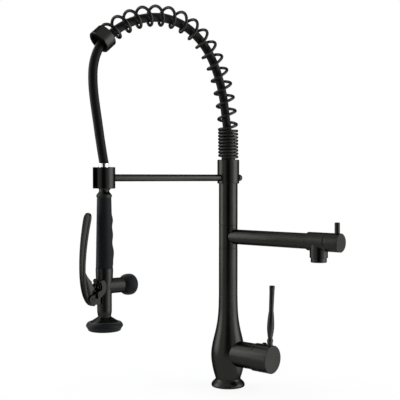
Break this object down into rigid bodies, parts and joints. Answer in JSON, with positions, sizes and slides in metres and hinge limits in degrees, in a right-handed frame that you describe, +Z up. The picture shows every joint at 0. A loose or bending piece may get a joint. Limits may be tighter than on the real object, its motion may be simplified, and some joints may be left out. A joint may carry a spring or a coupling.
{
  "type": "pre-rinse kitchen faucet",
  "caption": "Single-hole kitchen faucet with a spring-arched spray hose, a docked trigger sprayer on an arm, and a swivelling spout with its own shut-off knob.",
  "frame": {"origin": "centre of the base's underside, on the deck", "axes": "+Z up; the riser, spring and sprayer reach out along -Y; the spout and the handle point 16 degrees from +X towards +Y"},
  "size_m": [0.2135, 0.3063, 0.5525],
  "materials": {
    "black_metal": "satin black coating",
    "black_rubber": "matte",
    "brass": "machined",
    "steel": "turned",
    "chrome": "polished",
    "white_plastic": "moulded",
    "ceramic": "ground"
  },
  "bodies": {
    "body": {"deck_gasket": "black_rubber", "base_flange": "black_metal", "inlet_block": "brass", "faucet_body": "black_metal", "waterway_core": "brass", "lower_column": "black_metal", "swivel_spindle": "brass", "swivel_washers": "black_rubber", "swivel_orings": "black_rubber", "upper_column": "black_metal", "top_fitting": "brass", "hose_nut": "brass", "mixer_cartridge": "white_plastic", "cartridge_nut": "brass"},
    "mixer": {"cartridge_carrier": "ceramic", "tilt_pin": "steel"},
    "handle": {"cartridge_stem": "steel", "handle_cap": "black_metal", "handle_lever": "black_metal", "handle_screw": "steel", "screw_cover": "black_metal", "index_button": "black_metal"},
    "spout": {"spout_hub": "black_metal", "spout_tube": "black_metal", "spout_tee": "black_metal", "shutoff_gland": "brass", "aerator_housing": "black_metal", "aerator_insert": "white_plastic", "aerator_washer": "black_rubber"},
    "shutoff": {"shutoff_plug": "brass", "shutoff_knob": "black_metal", "knob_pin": "black_metal", "knob_screw": "steel"},
    "riser": {"riser_collar": "black_metal", "collar_screw": "black_metal", "arm_rod": "black_metal", "riser_spring": "black_metal", "spring_cap": "black_metal", "cap_bush": "white_plastic", "docking_holder": "black_metal", "holder_liner": "black_rubber", "spray_hose": "black_rubber"},
    "sprayer": {"hose_ferrule": "chrome", "sprayer_neck": "black_metal", "grip_tube": "brass", "grip_sleeve": "black_rubber", "valve_body": "black_metal", "valve_seat": "black_rubber", "valve_spring": "steel", "valve_bonnet": "brass", "side_cap": "black_rubber", "stem_gland": "black_metal", "spray_cone": "black_metal", "spray_bumper": "black_rubber", "spray_face": "black_metal", "face_screw": "steel", "lever_bracket": "black_metal", "pivot_pin": "black_metal"},
    "trigger": {"trigger_lever": "black_metal"},
    "stem": {"valve_stem": "black_metal"}
  },
  "joints": [
    {"name": "spout_swing", "type": "hinge", "parent": "body", "child": "spout", "pos_m": [0, 0, 0.2235], "axis": [0, 0, 1], "range_deg": [-90, 180]},
    {"name": "shutoff_turn", "type": "hinge", "parent": "spout", "child": "shutoff", "pos_m": [0.15092, 0.04328, 0.2235], "axis": [0.9613, 0.2756, 0], "range_deg": [0, 90]},
    {"name": "riser_swing", "type": "hinge", "parent": "body", "child": "riser", "pos_m": [0, 0, 0.32], "axis": [0, 0, 1], "range_deg": [-180, 90]},
    {"name": "sprayer_swing", "type": "hinge", "parent": "riser", "child": "sprayer", "pos_m": [0, -0.207, 0.49], "axis": [-1, 0, 0], "range_deg": [0, 35], "deforming": ["spray_hose"]},
    {"name": "trigger_press", "type": "hinge", "parent": "sprayer", "child": "trigger", "pos_m": [0, -0.227, 0.149], "axis": [-1, 0, 0], "range_deg": [0, 5.3], "stiffness_Nm_per_rad": 3, "springref_deg": -5.73},
    {"name": "stem_slide", "type": "slide", "parent": "sprayer", "child": "stem", "axis": [0, 1, 0], "range_m": [0, 0.00125], "deforming": ["valve_spring"]},
    {"name": "mix_turn", "type": "hinge", "parent": "body", "child": "mixer", "pos_m": [0.03941, 0.0113, 0.05], "axis": [0.9613, 0.2756, 0], "range_deg": [-45, 45]},
    {"name": "flow_tilt", "type": "hinge", "parent": "mixer", "child": "handle", "pos_m": [0.03941, 0.0113, 0.05], "axis": [-0.2756, 0.9613, 0], "range_deg": [0, 18]}
  ],
  "couplings": [
    {"joint": "stem_slide", "follows": "trigger_press", "m_per_rad": 0.0135}
  ]
}
